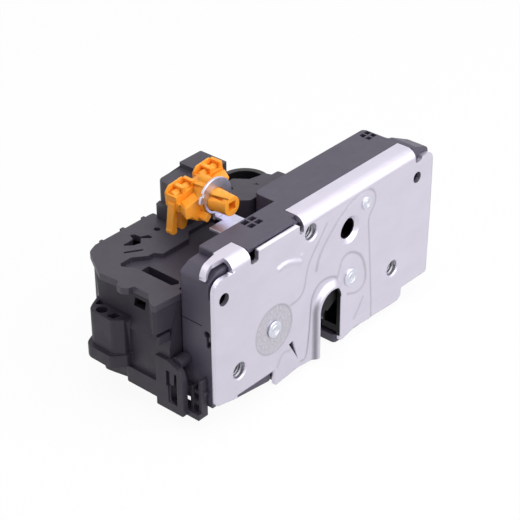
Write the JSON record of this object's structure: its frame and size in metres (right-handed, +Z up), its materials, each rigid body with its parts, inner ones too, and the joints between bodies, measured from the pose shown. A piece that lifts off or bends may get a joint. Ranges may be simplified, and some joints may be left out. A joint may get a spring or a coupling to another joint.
{
  "type": "car door lock",
  "caption": "Rotary-catch door latch with a steel face plate, striker slot, plastic housing, lock actuator, cable cup, connector and turning key coupling.",
  "frame": {"origin": "midway between the two lower fixing threads and halfway along them, 3 mm behind the outer face of the face plate", "axes": "+X along the face plate, +Y from the face plate into the door, +Z up"},
  "size_m": [0.1279, 0.0596, 0.0717],
  "materials": {
    "face_plate": "pressed galvanised sheet, satin",
    "back_plate": "galvanised sheet",
    "catch_rivet": "turned, bright zinc",
    "pawl_rivet": "turned, bright zinc",
    "stop_rivet": "turned, bright zinc",
    "latch_housing": "moulded black plastic",
    "latch_shell": "moulded black plastic, fine grain",
    "catch_bumper": "soft black rubber",
    "shell_screws": "zinc-plated screw",
    "rotary_catch": "fine-blanked steel",
    "catch_lining": "over-moulded black plastic",
    "pawl": "fine-blanked steel",
    "pawl_damper": "over-moulded black plastic",
    "catch_spring": "spring steel wire",
    "pawl_spring": "spring steel wire",
    "release_lever": "galvanised sheet",
    "release_pin": "turned, zinc-plated",
    "actuator_case": "moulded black plastic",
    "actuator_cover": "moulded black plastic, fine grain",
    "gear_cover": "moulded black plastic",
    "connector_housing": "moulded black plastic",
    "connector_pins": "tin-plated brass",
    "cable_cup": "moulded black plastic",
    "lock_motor": "drawn steel can",
    "motor_worm": "moulded acetal on a steel shaft",
    "worm_wheel": "moulded acetal",
    "wheel_pin": "ground pin",
    "lock_lever": "moulded acetal",
    "lock_pin": "ground pin",
    "lock_switch": "moulded black plastic",
    "coupling_bracket": "galvanised sheet",
    "key_coupling": "moulded orange plastic"
  },
  "bodies": {
    "lock_frame": {"face_plate": "face_plate", "back_plate": "back_plate", "catch_rivet": "catch_rivet", "pawl_rivet": "pawl_rivet", "stop_rivet": "stop_rivet", "latch_housing": "latch_housing", "latch_shell": "latch_shell", "catch_bumper": "catch_bumper", "shell_screws": "shell_screws", "catch_spring": "catch_spring", "pawl_spring": "pawl_spring", "release_pin": "release_pin", "actuator_case": "actuator_case", "actuator_cover": "actuator_cover", "gear_cover": "gear_cover", "connector_housing": "connector_housing", "connector_pins": "connector_pins", "cable_cup": "cable_cup", "lock_motor": "lock_motor", "wheel_pin": "wheel_pin", "lock_pin": "lock_pin", "lock_switch": "lock_switch", "coupling_bracket": "coupling_bracket"},
    "catch": {"rotary_catch": "rotary_catch", "catch_lining": "catch_lining"},
    "pawl": {"pawl": "pawl", "pawl_damper": "pawl_damper"},
    "release_lever": {"release_lever": "release_lever"},
    "worm": {"motor_worm": "motor_worm"},
    "wheel": {"worm_wheel": "worm_wheel"},
    "lock_lever": {"lock_lever": "lock_lever"},
    "key_coupling": {"key_coupling": "key_coupling"}
  },
  "joints": [
    {"name": "catch_turn", "type": "hinge", "parent": "lock_frame", "child": "catch", "pos_m": [0.0167, 0.002, 0.0084], "axis": [0, 1, 0], "range_deg": [0, 50], "stiffness_Nm_per_rad": 0.02, "springref_deg": -28.65, "deforming": ["catch_spring"]},
    {"name": "pawl_lift", "type": "hinge", "parent": "lock_frame", "child": "pawl", "pos_m": [-0.0238, 0.002, 0.0075], "axis": [0, -1, 0], "range_deg": [0, 8], "stiffness_Nm_per_rad": 0.02, "springref_deg": -28.65, "deforming": ["pawl_spring"]},
    {"name": "release_turn", "type": "hinge", "parent": "lock_frame", "child": "release_lever", "pos_m": [-0.03076, 0.008, 0.01925], "axis": [0, -1, 0], "range_deg": [0, 16]},
    {"name": "wheel_turn", "type": "hinge", "parent": "lock_frame", "child": "wheel", "pos_m": [-0.0388, 0.03, 0.0075], "axis": [0, 0, 1], "range_deg": [0, 51.43]},
    {"name": "worm_spin", "type": "hinge", "parent": "lock_frame", "child": "worm", "pos_m": [-0.0388, 0.0435, 0.0075], "axis": [1, 0, 0], "range_deg": [-1440.01, 0]},
    {"name": "lock_turn", "type": "hinge", "parent": "lock_frame", "child": "lock_lever", "pos_m": [-0.0192, 0.03, 0.0135], "axis": [0, 0, 1], "range_deg": [-20.57, 0]},
    {"name": "key_turn", "type": "hinge", "parent": "lock_frame", "child": "key_coupling", "pos_m": [-0.0218, 0.021, 0.0463], "axis": [0, 1, 0], "range_deg": [-20, 35]}
  ],
  "couplings": [
    {"joint": "pawl_lift", "follows": "release_turn", "ratio": 0.5},
    {"joint": "worm_spin", "follows": "wheel_turn", "ratio": -28},
    {"joint": "lock_turn", "follows": "wheel_turn", "ratio": -0.4}
  ]
}
